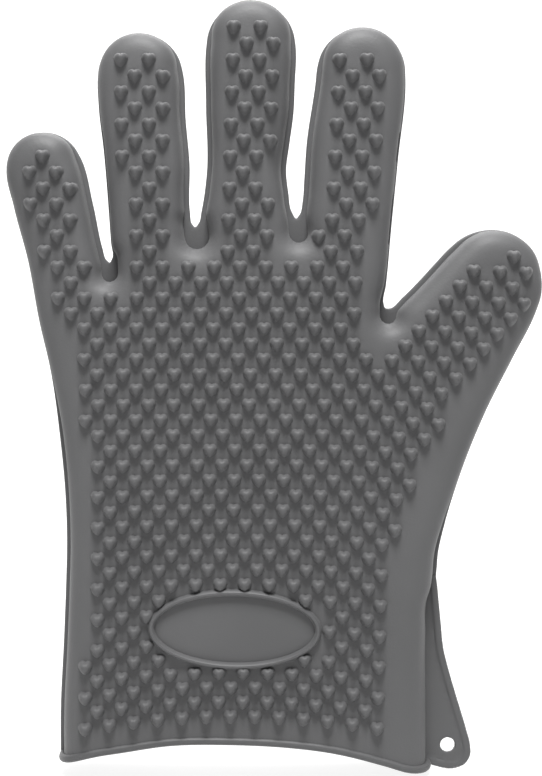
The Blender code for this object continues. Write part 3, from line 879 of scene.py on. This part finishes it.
def silicone(name, colour, roughness, bump):
    """Matt silicone rubber: faint clouding, uneven gloss and a fine moulded grain."""
    material = bpy.data.materials.new(name)
    material.use_nodes = True
    nodes = material.node_tree.nodes
    links = material.node_tree.links
    shader = nodes["Principled BSDF"]
    place_node = nodes.new("ShaderNodeTexCoord")
    cloud = nodes.new("ShaderNodeTexNoise")
    cloud.inputs["Scale"].default_value = CLOUD_SCALE
    cloud.inputs["Detail"].default_value = 4
    links.new(place_node.outputs["Object"], cloud.inputs["Vector"])
    tint = nodes.new("ShaderNodeValToRGB")
    tint.color_ramp.elements[0].position = 0.3
    tint.color_ramp.elements[1].position = 0.7
    tint.color_ramp.elements[0].color = (*(value * (1 - CLOUD_DEPTH) for value in colour), 1)
    tint.color_ramp.elements[1].color = (*(value * (1 + CLOUD_DEPTH) for value in colour), 1)
    links.new(cloud.outputs["Fac"], tint.inputs["Fac"])
    links.new(tint.outputs["Color"], shader.inputs["Base Color"])
    wear = nodes.new("ShaderNodeMapRange")
    wear.inputs["To Min"].default_value = roughness - GLOSS_DEPTH
    wear.inputs["To Max"].default_value = roughness + GLOSS_DEPTH
    links.new(cloud.outputs["Fac"], wear.inputs["Value"])
    links.new(wear.outputs["Result"], shader.inputs["Roughness"])
    grain = nodes.new("ShaderNodeTexNoise")
    grain.inputs["Scale"].default_value = GRAIN_SCALE
    grain.inputs["Detail"].default_value = 3
    links.new(place_node.outputs["Object"], grain.inputs["Vector"])
    relief = nodes.new("ShaderNodeBump")
    relief.inputs["Strength"].default_value = bump
    relief.inputs["Distance"].default_value = GRAIN_RELIEF
    links.new(grain.outputs["Fac"], relief.inputs["Height"])
    links.new(relief.outputs["Normal"], shader.inputs["Normal"])
    shader.inputs["Specular IOR Level"].default_value = 0.35
    shader.inputs["Sheen Weight"].default_value = 0.08
    shader.inputs["Sheen Roughness"].default_value = 0.5
    return material


GREY = (0.094, 0.094, 0.096)
SKIN = silicone("skin_silicone", GREY, 0.55, 0.25)
# The trim, meaning the cuff bead and the hanging tab, gets the skin's grey made 5% darker. This is painted
# shade, since they are the same silicone as the skin.
TRIM_PAINTED_SHADE = silicone("trim_silicone_painted_shade", tuple(value * 0.95 for value in GREY), 0.5, 0.15)
BADGE = silicone("badge_silicone", GREY, 0.5, 0.15)


# --- the glove ---


def make_body():
    points, heights, faces, on_rim = half_skin()
    vertices, every, in_front = both_halves(points, heights, faces, on_rim)
    extra = []
    for run in cuff_flange_ends(points, heights):
        for first, second in zip(run, run[1:]):
            lows = [first, second, second + len(points), first + len(points)]
            extra += [(lows[0], lows[1], lows[2]), (lows[0], lows[2], lows[3])]
    every = np.concatenate((every, np.array(extra)))
    in_front = np.concatenate((in_front, np.ones(len(extra), bool)))
    skin = Surface(vertices, every, SMOOTH_ANGLE)
    lining_vertices, lining_faces, lining_front = both_halves(*half_lining(), outward=False)
    lining = Surface(lining_vertices, lining_faces, SMOOTH_ANGLE)
    centres = stud_places()
    front_centres = centres[badge_share(centres, STUD_BADGE_GAP) > 1]
    parts = []
    for surface, fronts in ((skin, in_front), (lining, lining_front)):
        middles = surface.vertices[surface.faces].mean(axis=1)[:, [0, 2]]
        parts.append((surface, fronts, *owners(middles)))
    for side, places in ((-1, front_centres), (1, centres)):
        surface, owner = studs(places, side)
        digit_number, piece_number = owners(places)
        fronts = np.full(len(surface.faces), side < 0)
        parts.append((surface, fronts, digit_number[owner], piece_number[owner]))
    for name, front, nodes in (
        ("palm_side_skin", True, ("palm_side", "pinky_ring_web", "ring_middle_web", "middle_index_web",
                                  "index_thumb_web")),
        ("hand_back_skin", False, ("hand_back", "pinky_root", "ring_root", "middle_root", "index_root")),
    ):
        mine = [surface.part((fronts == front) & (digits < 0)) for surface, fronts, digits, _ in parts
                if ((fronts == front) & (digits < 0)).any()]
        piece = make_piece(name, mine, SKIN)
        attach(piece, "palm")
        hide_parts(*nodes)
    for index, digit in enumerate(DIGITS):
        for number, part in enumerate(digit.parts):
            mine = [surface.part((digits == index) & (numbers == number))
                    for surface, _, digits, numbers in parts
                    if ((digits == index) & (numbers == number)).any()]
            piece = make_piece(f"{digit.name}_{part}_skin", mine, SKIN)
            body = f"{digit.name}_{part}"
            digit.point(digit.zones[number])
            digit.point(digit.zones[number + 1])
            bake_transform(piece)
            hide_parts(f"{digit.name}_{part}_fold", body)


def tube(path, radius, sides=12):
    """A closed round tube along a closed path of (X, Y, Z) points."""
    path = np.asarray(path, float)
    ahead = np.roll(path, -1, axis=0) - np.roll(path, 1, axis=0)
    ahead /= np.linalg.norm(ahead, axis=1)[:, None]
    up = np.array((0.0, 0.0, 1.0))
    out = np.cross(ahead, up)
    out /= np.linalg.norm(out, axis=1)[:, None]
    rise = np.cross(out, ahead)
    vertices = []
    for step in range(sides):
        turn = 2 * math.pi * step / sides
        vertices.append(path + radius * (out * math.cos(turn) + rise * math.sin(turn)))
    vertices = np.stack(vertices, axis=1).reshape(-1, 3)
    faces = []
    count = len(path)
    for ring in range(count):
        for step in range(sides):
            a = ring * sides + step
            b = ring * sides + (step + 1) % sides
            c = ((ring + 1) % count) * sides + (step + 1) % sides
            d = ((ring + 1) % count) * sides + step
            faces += [(a, b, c), (a, c, d)]
    return vertices, faces


def make_hem():
    """The rolled bead around the mouth of the cuff."""
    left = SIDES[0][0] + HEM_RADIUS - HEM_OVERHANG
    right = SIDES[-1][0] - HEM_RADIUS + HEM_OVERHANG
    span = EDGE_ROUND + FLANGE - WALL / 2
    shares = np.array(HEM_CORNER)
    flat = np.linspace(left + span, right - span, HEM_FLAT_POINTS)
    xs = np.concatenate((left + shares * span, flat, (right - shares * span)[::-1]))
    in_from_side = np.minimum(xs - left, right - xs)
    depth = (half_depth(cuff_edge(xs)) - HEM_SINK) * bulge(in_from_side / span)
    heights = cuff_edge(xs) + HEM_RADIUS
    front = np.column_stack((xs, -depth, heights))
    back = np.column_stack((xs, depth, heights))[::-1][1:-1]
    vertices, faces = tube(np.concatenate((front, back)), HEM_RADIUS)
    piece = make_piece("cuff_bead", [Surface(vertices, faces, SMOOTH_ANGLE)], TRIM_PAINTED_SHADE)
    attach(piece, "palm")
    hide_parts("cuff_hem")


def badge_ring(inset, lift):
    """Points around the badge, in from its edge and above the skin."""
    turns = 2 * math.pi * np.arange(BADGE_POINTS) / BADGE_POINTS
    x = (BADGE_HALF_SIZE[0] - inset) * np.cos(turns)
    z = (BADGE_HALF_SIZE[1] - inset) * np.sin(turns)
    across = BADGE_CENTRE[0] + x * math.cos(BADGE_TURN) - z * math.sin(BADGE_TURN)
    up = BADGE_CENTRE[1] + x * math.sin(BADGE_TURN) + z * math.cos(BADGE_TURN)
    return np.column_stack((across, -half_depth(up) - lift, up))


def ring_faces(rings):
    faces = []
    for level in range(rings - 1):
        for step in range(BADGE_POINTS):
            here = level * BADGE_POINTS + step
            beside = level * BADGE_POINTS + (step + 1) % BADGE_POINTS
            above = beside + BADGE_POINTS
            faces += [(here, beside, above), (here, above, here + BADGE_POINTS)]
    return faces


def make_badge():
    """A blank oval: a rounded rim and a shallow floor."""
    vertices = np.concatenate([badge_ring(inset, lift) for inset, lift in BADGE_RIM_PROFILE])
    faces = ring_faces(len(BADGE_RIM_PROFILE))
    rim = make_piece("badge_bead", [Surface(vertices, faces, SMOOTH_ANGLE)], BADGE)
    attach(rim, "palm")
    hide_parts("badge_rim")
    vertices = np.concatenate([badge_ring(inset, lift) for inset, lift in BADGE_FLOOR_PROFILE])
    faces = ring_faces(len(BADGE_FLOOR_PROFILE))
    last = (len(BADGE_FLOOR_PROFILE) - 1) * BADGE_POINTS
    middle = vertices[last:].mean(axis=0)
    vertices = np.concatenate((vertices, [middle]))
    tip = len(vertices) - 1
    faces += [(last + step, last + (step + 1) % BADGE_POINTS, tip) for step in range(BADGE_POINTS)]
    field = make_piece("badge_floor", [Surface(vertices, faces, SMOOTH_ANGLE)], BADGE)
    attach(field, "palm")
    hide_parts("badge_field")


def make_tab():
    """The hanging tab: a thin membrane with a rounded outer rim, and a hole."""
    outline = thin_out(curve_through(TAB_OUTLINE), 1.4)
    xs = np.arange(50, 74, 0.3)
    zs = np.arange(-2, 74, 0.3)
    grid = np.stack(np.meshgrid(xs, zs, indexing="ij"), axis=-1).reshape(-1, 2)
    signed = line_distance(grid, outline) * np.where(inside(grid, outline), 1, -1)
    signed = signed.reshape(len(xs), len(zs))
    plan = Plan()
    rim = plan.add(outline, 0.0)
    for level, height in TAB_RIM:
        for chain in contours(xs, zs, signed, level):
            part = chain[chain[:, 0] > outline[0][0] + 0.02]
            plan.add(even_out(part, 1.2), height)
    turns = 2 * math.pi * np.arange(TAB_HOLE_POINTS) / TAB_HOLE_POINTS
    hole = np.array(TAB_HOLE) + TAB_HOLE_RADIUS * np.column_stack((np.cos(turns), np.sin(turns)))
    fill = np.array([(x, z) for x in np.arange(52.8, 68, TAB_FILL) for z in np.arange(6, 66, TAB_FILL)])
    fill = fill[inside(fill, outline)]
    fill = fill[line_distance(fill, outline) > TAB_FILL_INSET]
    fill = fill[np.hypot(*(fill - TAB_HOLE).T) > TAB_HOLE_RADIUS + 0.9]
    plan.add(fill, TAB_MEMBRANE)
    collar = np.array(TAB_HOLE) + (TAB_HOLE_RADIUS + 0.5) * np.column_stack((np.cos(turns), np.sin(turns)))
    gap = np.hypot(*(np.array(plan.points) - TAB_HOLE).T)
    keep = [n for n in range(len(plan.points)) if n in rim or gap[n] > TAB_HOLE_RADIUS + 0.8]
    plan.points = [plan.points[n] for n in keep]
    plan.heights = [plan.heights[n] for n in keep]
    plan.edges = []
    plan.add(collar, TAB_MEMBRANE)
    ring = plan.add(hole, TAB_HOLE_EDGE, linked=True)
    plan.edges.append((ring[-1], ring[0]))
    points, heights, faces, origins = plan.triangles(range(len(outline)))
    heights = np.nan_to_num(heights, nan=TAB_MEMBRANE)
    middles = points[faces].mean(axis=1)
    faces = faces[np.hypot(*(middles - TAB_HOLE).T) > TAB_HOLE_RADIUS * 0.97]
    on_rim = np.array([any(o < len(outline) for o in origin) for origin in origins])
    vertices, every, _ = both_halves(points, heights, faces, on_rim)
    around = [next(n for n, origin in enumerate(origins) if o in origin) for o in ring]
    count = len(points)
    wall = []
    for first, second in zip(around, around[1:] + around[:1]):
        wall += [(first, second, second + count), (first, second + count, first + count)]
    every = np.concatenate((every, np.array(wall)))
    piece = make_piece("tab_skin", [Surface(vertices, every, SMOOTH_ANGLE)], TRIM_PAINTED_SHADE)
    height = TAB_HINGE[1]
    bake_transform(piece)
    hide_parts("hanging_tab", "tab_root_fold")


# --- the studio ---

CAMERA_DISTANCE = 450.0
VIEW_HEIGHT = 270.8
VIEW_CENTRE = (-0.7, 135.1)
# name, place and size in metres, power in watts, and what it points at
LAMPS = (
    ("key", (0.0, -0.38, 1.0), 0.34, 16.0, (0, 0, 0.13)),
    ("fill", (0.0, -1.2, 0.35), 1.2, 0.5, (0, 0, 0.13)),
    ("back_fill", (0.0, 0.7, 1.3), 1.0, 16.0, (0, 0.9, 0.2)),
)
WORLD_STRENGTH = 0.08
PAPER_COLOUR = (0.3, 0.3, 0.3, 1)
PAPER_GLOW = 0.88
PAPER_HALF_WIDTH = 2.5
PAPER_TOP = 3.0
PAPER_BEND_START = 0.5
PAPER_BEND_RADIUS = 0.6
PAPER_BEND_STEPS = 12


def make_camera():
    camera_data = bpy.data.cameras.new("camera")
    camera_data.sensor_width = 36
    camera_data.lens = 36 * CAMERA_DISTANCE / VIEW_HEIGHT
    camera_data.dof.use_dof = False
    camera_data.clip_start = 0.01
    camera = bpy.data.objects.new("camera", camera_data)
    bpy.context.scene.collection.objects.link(camera)
    camera.location = place((VIEW_CENTRE[0], -CAMERA_DISTANCE, VIEW_CENTRE[1]))
    camera.rotation_euler = (math.pi / 2, 0, 0)
    bpy.context.scene.camera = camera


def make_backdrop():
    """Pale paper that runs along the floor and bends up behind the glove."""
    profile = [(-PAPER_HALF_WIDTH, 0.0), (PAPER_BEND_START, 0.0)]
    for step in range(1, PAPER_BEND_STEPS + 1):
        turn = math.pi / 2 * step / PAPER_BEND_STEPS
        profile.append((PAPER_BEND_START + PAPER_BEND_RADIUS * math.sin(turn),
                        PAPER_BEND_RADIUS - PAPER_BEND_RADIUS * math.cos(turn)))
    profile.append((PAPER_BEND_START + PAPER_BEND_RADIUS, PAPER_TOP))
    vertices = [(side * PAPER_HALF_WIDTH, y, z) for y, z in profile for side in (-1, 1)]
    faces = [(2 * n, 2 * n + 1, 2 * n + 3, 2 * n + 2) for n in range(len(profile) - 1)]
    mesh = bpy.data.meshes.new("backdrop")
    mesh.from_pydata(vertices, [], faces)
    for face in mesh.polygons:
        face.use_smooth = True
    backdrop = bpy.data.objects.new("backdrop", mesh)
    bpy.context.scene.collection.objects.link(backdrop)
    paper = bpy.data.materials.new("paper")
    paper.use_nodes = True
    shader = paper.node_tree.nodes["Principled BSDF"]
    shader.inputs["Base Color"].default_value = PAPER_COLOUR
    shader.inputs["Roughness"].default_value = 0.9
    shader.inputs["Emission Color"].default_value = (1, 1, 1, 1)
    shader.inputs["Emission Strength"].default_value = PAPER_GLOW
    mesh.materials.append(paper)


def make_lights():
    for name, at, size, power, target in LAMPS:
        data = bpy.data.lights.new(name, "AREA")
        data.size = size
        data.energy = power
        lamp = bpy.data.objects.new(name, data)
        lamp.location = at
        lamp.rotation_euler = (Vector(target) - Vector(at)).to_track_quat("-Z", "Y").to_euler()
        bpy.context.scene.collection.objects.link(lamp)
    world = bpy.data.worlds.new("studio")
    bpy.context.scene.world = world
    world.use_nodes = True
    world.node_tree.nodes["Background"].inputs["Color"].default_value = (1, 1, 1, 1)
    world.node_tree.nodes["Background"].inputs["Strength"].default_value = WORLD_STRENGTH
    bpy.context.scene.view_settings.view_transform = "Standard"


make_body()
make_hem()
make_badge()
make_tab()
make_camera()
make_backdrop()
make_lights()
